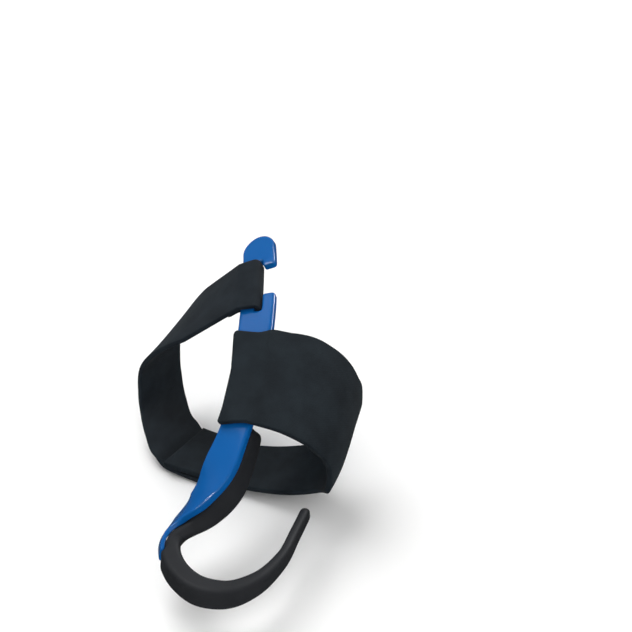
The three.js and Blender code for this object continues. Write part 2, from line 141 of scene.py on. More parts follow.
def steps_between(start, end, step):
    count = math.ceil(abs(end - start) / step)
    return [mix(start, end, i / count) for i in range(count + 1)]


def unit(v):
    return v / np.linalg.norm(v)


def curve_through(keys, values):
    """Smooth curve through rows of numbers."""
    last = len(keys) - 1
    slopes = []
    for i in range(last + 1):
        a, b = max(i - 1, 0), min(i + 1, last)
        slopes.append((values[b] - values[a]) / (keys[b] - keys[a]))

    def at(key):
        i = 0
        while i < last - 1 and key > keys[i + 1]:
            i += 1
        h = keys[i + 1] - keys[i]
        u = min(max((key - keys[i]) / h, 0.0), 1.0)
        u2, u3 = u * u, u * u * u
        return (
            (2 * u3 - 3 * u2 + 1) * values[i]
            + (u3 - 2 * u2 + u) * h * slopes[i]
            + (3 * u2 - 2 * u3) * values[i + 1]
            + (u3 - u2) * h * slopes[i + 1]
        )

    return at


# Foot form: back, then inner, outer, crest, top, waist, flank and arch, as shares
FORM_COLUMNS = ("inner", "outer", "crest", "top", "waist", "flank", "arch")
FORM_SIZES = (BALL_WIDTH,) * 3 + (INSTEP_HEIGHT,) * 4
FORM_ROWS = (
    (0.25, 0.398, -0.455, 0.227, 0.433, 0.183, 0.183, 0),
    (0.375, 0.422, -0.523, 0.205, 0.533, 0.234, 0.2, 0),
    (0.5, 0.423, -0.505, 0.182, 0.633, 0.297, 0.217, 0.03),
    (0.625, 0.391, -0.475, 0.159, 0.733, 0.387, 0.233, 0.09),
    (0.75, 0.352, -0.46, 0.125, 0.817, 0.454, 0.267, 0.17),
    (0.875, 0.313, -0.447, 0.091, 0.908, 0.504, 0.317, 0.23),
    (1, 0.29, -0.435, 0.068, 1, 0.554, 0.367, 0.27),
)
FORM = {
    name: curve_through(
        [row[0] * FOOT_REACH for row in FORM_ROWS],
        [row[i + 1] * FORM_SIZES[i] for row in FORM_ROWS],
    )
    for i, name in enumerate(FORM_COLUMNS)
}
ROUNDNESS = {
    ("top", "inner"): 1.9,
    ("top", "outer"): 2.3,
    ("sole", "inner"): 2.2,
    ("sole", "outer"): 2.9,
}
CREST_PULL = 2.2
ARCH_WAIST = 1.5


def form_point(angle, y):
    """Point of the foot form: 0 is the inner side, 90 the instep, 180 the outer side."""
    a = math.radians(angle)
    c, s = math.cos(a), math.sin(a)
    side = "inner" if c > 0 else "outer"
    power = 2 / ROUNDNESS["top" if s >= 0 else "sole", side]
    rise = abs(s) ** power
    inner, outer = FORM["inner"](y), FORM["outer"](y)
    centre, half = (inner + outer) / 2, (inner - outer) / 2
    x = centre + half * math.copysign(abs(c) ** power, c)
    widest = mix(FORM["flank"](y), FORM["waist"](y), max(c, 0.0))
    z = widest
    if s >= 0:
        x += (FORM["crest"](y) - centre) * abs(s) ** CREST_PULL
        z += (FORM["top"](y) - widest) * rise
    else:
        raised = FORM["arch"](y) * max((x - centre) / half, 0) * abs(s)
        x -= ARCH_WAIST * raised
        z += raised - widest * rise
    return np.array((x, y, z))


def form_normal(angle, y):
    step = 0.5
    around = form_point(angle + step, y) - form_point(angle - step, y)
    back = form_point(angle, y + step) - form_point(angle, y - step)
    return unit(np.cross(back, around))


# Spine of the splint and hook: side, back and up as shares, twist in degrees
SPINE_ROWS = (
    (-0.204, 0.924, 0.928, 27),
    (-0.132, 0.84, 0.895, 20),
    (-0.043, 0.723, 0.837, 12),
    (0.019, 0.626, 0.767, 9),
    (0.085, 0.512, 0.668, 7),
    (0.132, 0.391, 0.573, 7),
    (0.144, 0.315, 0.492, 12),
    (0.14, 0.25, 0.405, 20),
    (0.113, 0.2, 0.323, 27),
    (0.078, 0.153, 0.25, 40),
    (0.065, 0.1, 0.211, 62),
    (0.11, 0.042, 0.197, 82),
    (0.187, -0.001, 0.179, 90),
    (0.294, -0.022, 0.17, 90),
    (0.396, 0.004, 0.166, 90),
    (0.453, 0.074, 0.167, 90),
    (0.465, 0.173, 0.173, 90),
    (0.443, 0.266, 0.18, 90),
    (0.419, 0.357, 0.186, 90),
)
SPINE_POINTS = np.array([row[:3] for row in SPINE_ROWS]) * (BALL_WIDTH, FOOT_REACH, INSTEP_HEIGHT)
SPINE_DIVISIONS = 600


def spine_at(t):
    """Centripetal Catmull-Rom curve through the rows, for t from 0 to 1."""
    points = SPINE_POINTS
    last = len(points) - 1
    place = min(max(t, 0.0), 1.0) * last
    i = min(int(place), last - 1)
    u = place - i
    p1, p2 = points[i], points[i + 1]
    p0 = points[i - 1] if i > 0 else 2 * p1 - p2
    p3 = points[i + 2] if i + 2 <= last else 2 * p2 - p1
    d0, d1, d2 = (math.sqrt(np.linalg.norm(b - a)) for a, b in ((p0, p1), (p1, p2), (p2, p3)))
    m1 = ((p1 - p0) / d0 - (p2 - p0) / (d0 + d1) + (p2 - p1) / d1) * d1
    m2 = ((p2 - p1) / d1 - (p3 - p1) / (d1 + d2) + (p3 - p2) / d2) * d1
    c2 = -3 * p1 + 3 * p2 - 2 * m1 - m2
    c3 = 2 * p1 - 2 * p2 + m1 + m2
    return p1 + u * (m1 + u * (c2 + u * c3))


SPINE_SHARES = shares(SPINE_DIVISIONS)
SPINE_TRACE = np.array([spine_at(t) for t in SPINE_SHARES])
SPINE_LENGTHS = np.concatenate(
    ([0.0], np.cumsum(np.linalg.norm(np.diff(SPINE_TRACE, axis=0), axis=1)))
)
SPINE_LENGTH = float(SPINE_LENGTHS[-1])
ROW_DISTANCES = [
    float(SPINE_LENGTHS[round(share * SPINE_DIVISIONS)]) for share in shares(len(SPINE_ROWS) - 1)
]
twist_at = curve_through(ROW_DISTANCES, [row[3] for row in SPINE_ROWS])


def spine_frame(distance):
    """Centre, across and outward at a distance from the tab end."""
    distance = min(max(distance, 0.0), SPINE_LENGTH)
    t = float(np.interp(distance, SPINE_LENGTHS, SPINE_SHARES))
    delta = 1e-4
    along = unit(spine_at(t + delta) - spine_at(t - delta))
    level = unit(np.cross((0, 0, 1), along))
    upright = unit(np.cross(along, level))
    twist = math.radians(twist_at(distance))
    across = level * math.cos(twist) + upright * math.sin(twist)
    outward = upright * math.cos(twist) - level * math.sin(twist)
    return spine_at(t), across, outward


def spine_point(place, across, outward):
    return place[0] + place[1] * across + place[2] * outward


SEAT = spine_point(spine_frame(SEAT_DISTANCE), 0, -SPLINT_THICKNESS / 2)


def link(thing):
    bpy.context.scene.collection.objects.link(thing)


def piece_from(bm, mesh):
    """Smooth object with its faces outward, from a filled bmesh."""
    bmesh.ops.recalc_face_normals(bm, faces=bm.faces)
    bm.to_mesh(mesh)
    bm.free()
    mesh.shade_smooth()
    piece = bpy.data.objects.new(mesh.name, mesh)
    link(piece)
    return piece


def new_piece(name, points, faces, cloth=None):
    """Mesh object in the frame of the part from points in millimetres."""
    mesh = bpy.data.meshes.new(name)
    mesh.from_pydata([tuple((p - SEAT) * MM) for p in points], [], faces)
    if cloth is not None:
        attribute = mesh.attributes.new("cloth", "FLOAT_VECTOR", "POINT")
        attribute.data.foreach_set("vector", np.array(cloth, float).ravel())
    mesh.update()
    bm = bmesh.new()
    bm.from_mesh(mesh)
    return piece_from(bm, mesh)


def loft_faces(rows, count):
    """Quads between closed sections, with a flat face at each end."""
    faces = []
    for i in range(rows - 1):
        for j in range(count):
            k = (j + 1) % count
            faces.append((i * count + j, i * count + k, (i + 1) * count + k, (i + 1) * count + j))
    faces.append(tuple(range(count)))
    faces.append(tuple((rows - 1) * count + j for j in range(count)))
    return faces


# Splint

def tapered(distance):
    return smooth((distance - SPLINT_LENGTH + TIP_TAPER) / TIP_TAPER)


# Splint: share of its length, width as a share of the width of its shaft
WIDTH_ROWS = (
    (0, 1),
    (0.4, 1),
    (0.5, 0.95),
    (0.58, 0.88),
    (0.63, 0.89),
    (0.67, 0.97),
    (0.71, 1.1),
    (0.75, 1.18),
    (0.79, 1.22),
    (0.825, 1.18),
    (0.855, 1.03),
    (0.89, 0.72),
    (0.925, 0.55),
    (0.96, 0.49),
    (1, 0.46),
)
width_at = curve_through([row[0] for row in WIDTH_ROWS], [row[1] for row in WIDTH_ROWS])


def splint_half(distance):
    inset = max(SPLINT_WIDTH / 2 - distance, 0.0)
    end = math.sqrt(max((SPLINT_WIDTH / 2) ** 2 - inset**2, 0.0))
    return end * width_at(distance / SPLINT_LENGTH)


def splint_thickness(distance):
    return mix(SPLINT_THICKNESS, TIP_THICKNESS, tapered(distance))


SPLINT_OUTER = SPLINT_THICKNESS / 2


def splint_inner(distance):
    return SPLINT_OUTER - splint_thickness(distance)


def round_corners(corners, segments=6):
    """Polygon with each (x, y, radius) corner rounded."""
    out = []
    for i, (x, y, radius) in enumerate(corners):
        here = np.array((x, y))
        before = unit(np.array(corners[i - 1][:2]) - here)
        after = unit(np.array(corners[(i + 1) % len(corners)][:2]) - here)
        if radius == 0:
            out.append(here)
            continue
        half = math.acos(np.clip(before @ after, -1, 1)) / 2
        reach = radius / math.tan(half)
        centre = here + unit(before + after) * (radius / math.sin(half))
        start, end = here + before * reach - centre, here + after * reach - centre
        sweep = math.atan2(start[0] * end[1] - start[1] * end[0], start @ end)
        for share in shares(segments):
            a = sweep * share
            turn = np.array(((math.cos(a), -math.sin(a)), (math.sin(a), math.cos(a))))
            out.append(centre + turn @ start)
    return out


def splint_outline():
    """Plan of the flat splint: x along it from the tab end, y across it."""
    half = SPLINT_WIDTH / 2
    low = SLOT_OFFSET - SLOT_WIDTH / 2
    high = low + SLOT_WIDTH
    slot_end = SLOT_START + STRAP_WIDTH + 2 * SLOT_PLAY
    mouth_end = MOUTH_START + MOUTH_LENGTH
    tab = [
        (half - half * math.cos(math.radians(a)), half * math.sin(math.radians(a)), 0)
        for a in range(-90, 91, 6)
    ]
    prongs = [
        (MOUTH_START, half, PRONG_RADIUS),
        (MOUTH_START, high, MOUTH_RADIUS),
        (SLOT_START, high, SLOT_MOUTH_RADIUS),
        (SLOT_START, low, SLOT_RADIUS),
        (slot_end, low, SLOT_RADIUS),
        (slot_end, high, SLOT_RADIUS),
        (mouth_end, high, MOUTH_RADIUS),
        (mouth_end, half, PRONG_RADIUS),
    ]
    body = steps_between(mouth_end + 4, SPLINT_LENGTH - TIP_RADIUS, 2)
    inner_side = [(d, splint_half(d), 0) for d in body]
    tip = splint_half(SPLINT_LENGTH)
    end = [(SPLINT_LENGTH, side, TIP_RADIUS) for side in (tip, -tip)]
    outer_side = [(d, -splint_half(d), 0) for d in reversed(body)]
    return round_corners(tab + prongs + inner_side + end + outer_side)


LENGTHWISE_CUTS = (-3.6, -1.8, 0, 1.8, 3.6)
CROSSWISE_STEP = 1.0
BEVEL_SEGMENTS = 4


def cut_through(bm, place, direction):
    """Edges where a plane meets the mesh, so that it can bend there."""
    parts = bm.verts[:] + bm.edges[:] + bm.faces[:]
    bmesh.ops.bisect_plane(bm, geom=parts, plane_co=place, plane_no=direction, dist=1e-5)


def make_splint():
    bm = bmesh.new()
    outline = [bm.verts.new((x, y, -SPLINT_THICKNESS / 2)) for x, y in splint_outline()]
    base = bm.faces.new(outline)
    grown = bmesh.ops.extrude_face_region(bm, geom=[base])
    top = [v for v in grown["geom"] if isinstance(v, bmesh.types.BMVert)]
    bmesh.ops.translate(bm, verts=top, vec=(0, 0, SPLINT_THICKNESS))
    bmesh.ops.recalc_face_normals(bm, faces=bm.faces)
    rim = [
        e
        for e in bm.edges
        if abs(e.verts[0].co.z - e.verts[1].co.z) < 1e-6 and e.calc_face_angle(0) > 1
    ]
    for side, offset in ((1, EDGE_ROUNDING), (-1, LINED_ROUNDING)):
        edges = [e for e in rim if e.is_valid and e.verts[0].co.z * side > 0]
        bmesh.ops.bevel(
            bm,
            geom=edges,
            offset=offset,
            segments=BEVEL_SEGMENTS,
            profile=0.5,
            affect="EDGES",
            clamp_overlap=False,
        )
    for x in steps_between(1, SPLINT_LENGTH - 1, CROSSWISE_STEP):
        cut_through(bm, (x, 0, 0), (1, 0, 0))
    for y in LENGTHWISE_CUTS:
        cut_through(bm, (0, y, 0), (0, 1, 0))
    bmesh.ops.remove_doubles(bm, verts=bm.verts, dist=1e-4)
    bmesh.ops.triangulate(bm, faces=[f for f in bm.faces if len(f.verts) > 4])
    places = {}
    for v in bm.verts:
        distance, across, height = v.co
        key = round(distance, 3)
        if key not in places:
            places[key] = spine_frame(distance)
        share = (height + SPLINT_THICKNESS / 2) / SPLINT_THICKNESS
        outward = mix(splint_inner(distance), SPLINT_OUTER, share)
        crown = CROWN * (1 - (2 * across / SPLINT_WIDTH) ** 2) * (1 if share > 0.9 else 0)
        point = spine_point(places[key], across, outward + crown - CROWN)
        v.co = Vector((point - SEAT) * MM)
    return piece_from(bm, bpy.data.meshes.new("splint_moulding"))


# Toe hook
HOOK_START = SPLINT_LENGTH + FIT_GAP
HOOK_THICKNESS = FOAM_THICKNESS + LINING_GAP + TIP_THICKNESS

# Wall of the foam on the blade: share of its run there, share of its thickness at the toe
FOAM_ROWS = (
    (0, 1.55),
    (0.08, 1.66),
    (0.2, 1.8),
    (0.34, 1.84),
    (0.48, 1.68),
    (0.6, 1.43),
    (0.68, 1.22),
    (0.76, 1.04),
    (1, 1),
)
foam_wall = curve_through([row[0] for row in FOAM_ROWS], [row[1] for row in FOAM_ROWS])
FOAM_FLATS = 6
HOOK_STEP = 0.8
HOOK_END_STEPS = (0.02, 0.1, 0.25, 0.5, 0.8, 1.2, 1.8, 2.5)
HOOK_ENDS_REACH = 3.2


def inset_at(left, radius):
    """How far a rounded end draws in, a given distance from it."""
    return radius - math.sqrt(radius**2 - max(radius - left, 0.0) ** 2)


def foam_section(distance):
    """Rounded section; near its upper end it leans back towards the inner face."""
    place = spine_frame(distance)
    run = (distance - FOAM_START) / (SPLINT_LENGTH - FOAM_START)
    free = smooth((distance - HOOK_START) / (SPINE_LENGTH - HOOK_START))
    grown = smooth(run)
    lined = splint_inner(min(distance, SPLINT_LENGTH)) - LINING_GAP
    swell = smooth((distance - HOOK_START) / FOAM_SWELL)
    outer = mix(lined, SPLINT_OUTER, swell)
    thin = smooth((distance - HOOK_START - ARM_START) / ARM_RUN)
    hook_inner = SPLINT_OUTER - mix(HOOK_THICKNESS, ARM_THICKNESS, thin)
    inner = mix(lined - foam_wall(run) * FOAM_THICKNESS, hook_inner, swell)
    on_blade = mix(SPLINT_WIDTH, HOOK_HEIGHT, grown)
    full = mix(on_blade, mix(HOOK_HEIGHT, ARM_HEIGHT, free), swell)
    done, left = distance - FOAM_START, SPINE_LENGTH - distance
    half = max(full / 2 - (inset_at(done, FOAM_CORNER) + inset_at(left, full / 2)), 0.2)
    from_end = min(done / FOAM_CUT, left / FOAM_END, 1.0)
    squeeze = math.sqrt(max(1 - (1 - from_end) ** 2, 0.02))
    middle = (outer + inner) / 2
    outer, inner = middle + (outer - middle) * squeeze, middle + (inner - middle) * squeeze
    edge = min(FOAM_EDGE, half * 0.95, (outer - inner) * 0.46)
    quarter = []
    for angle in reversed(ARC_ANGLES):
        a = math.radians(angle)
        quarter.append((half - edge + edge * math.sin(a), edge * (1 - math.cos(a))))
    upper = [(x, inner + drop) for x, drop in reversed(quarter)]
    upper += [(x, outer - drop) for x, drop in quarter]
    lower = [(-x, outward) for x, outward in reversed(upper)]
    flats = shares(FOAM_FLATS)[1:-1]
    outer_row = [(mix(half - edge, edge - half, share), outer) for share in flats]
    inner_row = [(mix(edge - half, half - edge, share), inner) for share in flats]
    loop = upper + outer_row + lower + inner_row
    lean = FOAM_LEAN * (1 - smooth(done / FOAM_LEAN_REACH)) / (outer - inner)
    return [
        spine_point(spine_frame(distance - lean * (outer - outward)) if lean else place, x, outward)
        for x, outward in loop
    ]


def make_hook():
    middle = steps_between(
        FOAM_START + HOOK_ENDS_REACH, SPINE_LENGTH - HOOK_ENDS_REACH, HOOK_STEP
    )
    distances = [FOAM_START + step for step in HOOK_END_STEPS] + middle
    distances += [SPINE_LENGTH - step for step in reversed(HOOK_END_STEPS)]
    sections = [foam_section(distance) for distance in distances]
    points = [p for section in sections for p in section]
    return new_piece("foam_toe_hook", points, loft_faces(len(sections), len(sections[0])))


# Fabric
SAMPLE_STEP = 0.5
SEARCH_ANGLES = (80.0, 150.0)
SEARCH_ROUNDS = 24
SKEW_COLUMNS = 16
SAMPLE_DISTANCES = steps_between(0, SPLINT_LENGTH, SAMPLE_STEP)
SAMPLES = [spine_frame(distance) for distance in SAMPLE_DISTANCES]
SAMPLE_CENTRES = np.array([place[0] for place in SAMPLES])


def nearest_sample(point):
    index = int(np.argmin(((SAMPLE_CENTRES - point) ** 2).sum(1)))
    return SAMPLES[index], SAMPLE_DISTANCES[index]


def band_point(point, normal):
    """Inner face of the band: on the form, or over the splint and down a ramp."""
    place, distance = nearest_sample(point)
    offset = point - place[0]
    beyond = abs(offset @ place[1]) - splint_half(distance) - FIT_GAP
    down = min(max(beyond / BAND_RAMP, 0.0), 1.0)
    on_splint = (1 - down) ** 2 if normal @ place[2] > 0.5 else 0.0
    direction = unit(normal * (1 - on_splint) + place[2] * on_splint)
    need = SPLINT_THICKNESS / 2 + FIT_GAP - offset @ place[2]
    height = mix(SKIN_GAP, max(need, SKIN_GAP), on_splint)
    return point + direction * height, direction


def angle_beside(y, outside):
    """Angle where the line round the form at y is a given distance outside the spine."""
    low, high = SEARCH_ANGLES
    for _ in range(SEARCH_ROUNDS):
        angle = (low + high) / 2
        point = form_point(angle, y)
        place = nearest_sample(point)[0]
        if (point - place[0]) @ place[1] > -outside:
            low = angle
        else:
            high = angle
    return (low + high) / 2


class Course:
    """Course of a strip on the form, from its rows."""

    def __init__(self, rows, width, start_angle_at, skew_reach):
        keys = [row[0] for row in rows]
        self.sign = 1 if keys[-1] > keys[0] else -1
        scaled = [self.sign * key for key in keys]
        self.middle = curve_through(scaled, [row[1] * FOOT_REACH for row in rows])
        self.span = curve_through(scaled, [row[2] * width for row in rows])
        self.start_angle_at = start_angle_at
        self.skew_reach = skew_reach
        self.start = start_angle_at(self.y_at(keys[0], 0.5))
        self.end = keys[-1]
        columns = shares(SKEW_COLUMNS)
        self.skews = curve_through(
            columns, [start_angle_at(self.y_at(self.start, v)) - self.start for v in columns]
        )

    def y_at(self, angle, v):
        key = self.sign * angle
        return self.middle(key) + (v - 0.5) * self.span(key)

    def place(self, angle, v, extra=0.0):
        fade = 1 - smooth(self.sign * (angle - self.start) / self.skew_reach)
        return angle + self.skews(v) * fade, self.y_at(angle, v) + extra


def strip_loop(columns, thickness, radius):
    """Section of a strip: share of its width, extra across and height, round the loop."""
    arc = [math.radians(a) for a in ARC_ANGLES[1:]]
    top = [(share, 0.0, thickness) for share in shares(columns)]
    right = [(1.0, radius * math.sin(a), thickness - radius * (1 - math.cos(a))) for a in arc]
    right += [(1.0, across, thickness - height) for _, across, height in reversed(right)]
    right.append((1.0, 0.0, 0.0))
    bottom = [(1 - share, 0.0, 0.0) for share in shares(columns)[1:]]
    left = [(0.0, -across, height) for _, across, height in reversed(right[:-1])]
    return top + right + bottom + left


# Rows of both strips: angle, middle as a share of the reach, width as a share of the width
BAND_ROWS = (
    (105, 0.492, 0.94),
    (95, 0.509, 0.897),
    (90, 0.521, 0.96),
    (78, 0.536, 1.004),
    (62, 0.542, 1),
    (42, 0.552, 0.98),
    (26, 0.563, 0.942),
    (12, 0.571, 0.934),
    (-10, 0.548, 0.827),
    (-30, 0.549, 0.6),
    (-60, 0.552, 0.62),
    (-112, 0.542, 0.67),
)
BAND_COLUMNS = 28
BAND_STEP = 1.1
BAND_END_STEPS = (0.0, 0.04, 0.12, 0.25, 0.42, 0.65, 0.9, 1.2, 1.6)


def make_band():
    front_corner = BAND_ROWS[0][1] * FOOT_REACH - BAND_WIDTH / 2

    def start_angle(y):
        overhang = BAND_OVERHANG + BAND_SLANT * (y - front_corner) / BAND_WIDTH
        return angle_beside(y, SPLINT_WIDTH / 2 + overhang)

    course = Course(BAND_ROWS, BAND_WIDTH, start_angle, BAND_SKEW_REACH)
    middle_y = BAND_ROWS[0][1] * FOOT_REACH
    per_degree = float(
        np.linalg.norm(form_point(course.start, middle_y) - form_point(course.start - 1, middle_y))
    )
    rest = steps_between(2, (course.start - course.end) * per_degree, BAND_STEP)
    gone = [*BAND_END_STEPS, *rest]
    loop = strip_loop(BAND_COLUMNS, BAND_THICKNESS, BAND_ROUNDING)
    points, cloth = [], []
    length = 0.0
    before = None
    for distance in gone:
        angle = course.start - distance / per_degree
        corner = max(BAND_CORNER - distance, 0.0)
        inset = BAND_CORNER - math.sqrt(BAND_CORNER**2 - corner**2)
        edge = max(BAND_ROUNDING - distance, 0.0)
        thin = math.sqrt(max(1 - (edge / BAND_ROUNDING) ** 2, 0.01))
        flat = mix(1, thin, BAND_ROUNDING * 2 / BAND_THICKNESS)
        here = form_point(angle, middle_y)
        length += 0 if before is None else float(np.linalg.norm(here - before))
        before = here
        for share, extra, height in loop:
            side = mix(inset + BAND_ROUNDING, -inset - BAND_ROUNDING, share) + extra
            at_angle, y = course.place(angle, share, side)
            point = form_point(at_angle, y)
            inner, direction = band_point(point, form_normal(at_angle, y))
            level = BAND_THICKNESS / 2 + (height - BAND_THICKNESS / 2) * flat
            points.append(inner + direction * level)
            cloth.append((length, y, 0))
    return new_piece("wide_band_cloth", points, loft_faces(len(gone), len(loop)), cloth)


STRAP_ROWS = (
    (115, 0.753, 0.98),
    (124, 0.736, 1.065),
    (137, 0.712, 1.28),
    (150, 0.7, 1.25),
    (165, 0.685, 1.117),
    (180, 0.673, 1.034),
    (200, 0.652, 1.034),
    (220, 0.61, 1.034),
    (240, 0.557, 1.034),
    (270, 0.542, 1.034),
)
STRAP_COLUMNS = 16
TAIL_STEP = 0.6
SLOT_STEP = 0.7
STRAP_STEP = 1.0
BRIDGE_STEP = 0.5
BEND_DIVISIONS = 7
BEND_PLAY = 0.05


def make_strap():
    outside = SPLINT_WIDTH / 2
    half = STRAP_THICKNESS / 2
    course = Course(
        STRAP_ROWS, STRAP_WIDTH, lambda y: angle_beside(y, outside), STRAP_SKEW_REACH
    )
    seam_angle = 360 + BAND_ROWS[-1][0]
    seam_back = BAND_ROWS[-1][1] * FOOT_REACH

    def degree_at(angle, y):
        return float(np.linalg.norm(form_point(angle, y) - form_point(angle + 1, y)))

    per_degree = degree_at(seam_angle, seam_back)
    lap_end = seam_angle + SEAM_LAP / per_degree
    level = SPLINT_THICKNESS / 2 + FIT_GAP + half
    per_start = degree_at(course.start, STRAP_ROWS[0][1] * FOOT_REACH)
    over_tail = SKIN_GAP + STRAP_THICKNESS + FIT_GAP
    places = {}

    def on_rail(v, across, outward):
        station = round(SLOT_START + SLOT_PLAY + (1 - v) * STRAP_WIDTH, 4)
        if station not in places:
            places[station] = spine_frame(station)
        return spine_point(places[station], across, outward)

    def under_tail(v, gone):
        angle, y = course.place(course.start + gone / per_start, v)
        on_form = form_point(angle, y) + form_normal(angle, y) * (SKIN_GAP + half)
        return mix(on_rail(v, -outside - gone, -level), on_form, smooth(gone / TAIL_BLEND))

    def height_at(gone, angle):
        after_tail = smooth((gone - TAIL_LENGTH) / LANDING)
        to_seam = ((seam_angle - angle) * per_degree - FIT_GAP) / STRAP_RAMP
        over_band = (1 - smooth(to_seam)) * (BAND_THICKNESS + FIT_GAP)
        return mix(over_tail, SKIN_GAP, after_tail) + over_band

    def on_foot(v, gone):
        angle = course.start + gone / per_start
        at_angle, y = course.place(angle, v)
        lift = height_at(gone, angle) + half
        return form_point(at_angle, y) + form_normal(at_angle, y) * lift

    def bridge(v):
        """Past the rail the strap is straight until it touches its path on the foot."""
        start = on_rail(v, -outside, level)
        place = spine_frame(SLOT_START + SLOT_PLAY + (1 - v) * STRAP_WIDTH)
        touch, steepest = None, -math.inf
        for gone in steps_between(2, TAIL_LENGTH + LANDING, BRIDGE_STEP):
            run = on_foot(v, gone) - start
            rise = -(run @ place[2]) / (run @ place[1])
            if rise > steepest:
                touch, steepest = gone, rise
        return start, touch, on_foot(v, touch)

    across_shares = shares(STRAP_COLUMNS)

    def narrowed(v, share):
        inset = share * TAIL_INSET / STRAP_WIDTH
        return mix(inset, 1 - inset, v)

    rows = []
    for gone in steps_between(TAIL_LENGTH, TAIL_STEP, TAIL_STEP):
        rows.append([under_tail(narrowed(v, 1), gone) for v in across_shares])
    slot_side = SLOT_OFFSET - SLOT_WIDTH / 2 + FIT_GAP + half
    bend = FIT_GAP + half + BEND_PLAY
    under = steps_between(-outside, slot_side - bend, SLOT_STEP)
    for i, across in enumerate(under[:-1]):
        narrow = 1 - i / (len(under) - 1)
        rows.append([on_rail(narrowed(v, narrow), across, -level) for v in across_shares])
    quarter = [share * math.pi / 2 for share in shares(BEND_DIVISIONS)]
    for a in quarter:
        x = slot_side - bend + bend * math.sin(a)
        rows.append([on_rail(v, x, -level + bend - bend * math.cos(a)) for v in across_shares])
    for a in quarter:
        x = slot_side - bend + bend * math.cos(a)
        rows.append([on_rail(v, x, level - bend + bend * math.sin(a)) for v in across_shares])
    for across in steps_between(slot_side - bend, -outside, SLOT_STEP)[1:]:
        rows.append([on_rail(v, across, level) for v in across_shares])
    last = (lap_end - course.start) * per_start
    bridges = [bridge(v) for v in across_shares]
    for gone in steps_between(TAIL_STEP, last, STRAP_STEP):
        rows.append([
            mix(start, end, gone / touch) if gone < touch else on_foot(v, gone)
            for v, (start, touch, end) in zip(across_shares, bridges)
        ])
    return strap_from_rows(np.array(rows))


def strap_from_rows(grid):
    """Rounded strip round a grid of centre points."""
    along = np.gradient(grid, axis=0)
    over = np.gradient(grid, axis=1)
    normals = np.cross(along, over)
    normals /= np.linalg.norm(normals, axis=2, keepdims=True)
    over /= np.linalg.norm(over, axis=2, keepdims=True)
    middle = grid[:, grid.shape[1] // 2]
    lengths = np.concatenate(([0], np.cumsum(np.linalg.norm(np.diff(middle, axis=0), axis=1))))
    widths = np.linalg.norm(np.diff(grid, axis=1), axis=2).sum(1)
    columns = grid.shape[1] - 1
    loop = strip_loop(columns, STRAP_THICKNESS, STRAP_ROUNDING)
    points, cloth = [], []
    for i, length in enumerate(lengths):
        from_end = min(length, lengths[-1] - length)
        edge = max(STRAP_ROUNDING - from_end, 0.0)
        thin = math.sqrt(max(1 - (edge / STRAP_ROUNDING) ** 2, 0.02))
        flat = mix(1, thin, STRAP_ROUNDING * 2 / STRAP_THICKNESS)
        for share, extra, height in loop:
            j = round(share * columns)
            inset = STRAP_ROUNDING * (1 - 2 * share)
            level = (height - STRAP_THICKNESS / 2) * flat
            points.append(grid[i, j] + over[i, j] * (extra + inset) + normals[i, j] * level)
            cloth.append((length, (share - 0.5) * widths[i] + extra, 0))
    return new_piece("narrow_strap_cloth", points, loft_faces(len(grid), len(loop)), cloth)


# Materials: colours are linear, dark and light
PLASTIC_COLOURS = ((0.002, 0.085, 0.305), (0.003, 0.1, 0.345))
PLASTIC_ROUGHNESS = (0.09, 0.13)
PLASTIC_SPECULAR = 0.16
FOAM_COLOURS = ((0.0175, 0.019, 0.022), (0.0225, 0.024, 0.027))
FOAM_ROUGHNESS = (0.5, 0.68)
FOAM_SPECULAR = 0.06
FOAM_CELLS = 2600
BAND_COLOURS = ((0.0085, 0.012, 0.0155), (0.014, 0.02, 0.025))
BAND_PITCH = 0.62
STRAP_COLOURS = ((0.009, 0.0125, 0.0165), (0.0145, 0.02, 0.0255))
STRAP_PITCH = 0.55
CLOTH_ROUGHNESS = (0.74, 0.92)
CLOTH_SPECULAR = 0.04
CLOTH_SHEEN = 0.03
RELIEF = 0.00012


def nodes_of(name):
    material = bpy.data.materials.new(name)
    material.use_nodes = True
    tree = material.node_tree
    tree.nodes.clear()
    output = tree.nodes.new("ShaderNodeOutputMaterial")
    shader = tree.nodes.new("ShaderNodeBsdfPrincipled")
    tree.links.new(shader.outputs["BSDF"], output.inputs["Surface"])
    return material, tree, shader


def add(tree, kind, **values):
    """New node with its properties set."""
    node = tree.nodes.new(kind)
    for key, value in values.items():
        setattr(node, key, value)
    return node


def ramp(tree, source, stops):
    """Colour ramp between two stops."""
    node = tree.nodes.new("ShaderNodeValToRGB")
    for element, (position, colour) in zip(node.color_ramp.elements, stops):
        element.position = position
        element.color = (*colour, 1)
    tree.links.new(source, node.inputs["Fac"])
    return node.outputs["Color"]


def map_range(tree, source, low, high, start=0.0, end=1.0):
    node = add(tree, "ShaderNodeMapRange")
    node.inputs["From Min"].default_value = start
    node.inputs["From Max"].default_value = end
    node.inputs["To Min"].default_value = low
    node.inputs["To Max"].default_value = high
    tree.links.new(source, node.inputs["Value"])
    return node.outputs["Result"]


def maths(tree, operation, a, b):
    node = add(tree, "ShaderNodeMath", operation=operation)
    for socket, value in zip(node.inputs, (a, b)):
        if isinstance(value, (int, float)):
            socket.default_value = value
        else:
            tree.links.new(value, socket)
    return node.outputs[0]


def bump(tree, shader, height, strength):
    node = add(tree, "ShaderNodeBump")
    node.inputs["Strength"].default_value = strength
    node.inputs["Distance"].default_value = RELIEF
    tree.links.new(height, node.inputs["Height"])
    tree.links.new(node.outputs["Normal"], shader.inputs["Normal"])


def noise(tree, vector, scale, detail=3.0, roughness=0.5):
    node = add(tree, "ShaderNodeTexNoise")
    node.inputs["Scale"].default_value = scale
    node.inputs["Detail"].default_value = detail
    node.inputs["Roughness"].default_value = roughness
    tree.links.new(vector, node.inputs["Vector"])
    return node.outputs["Fac"]


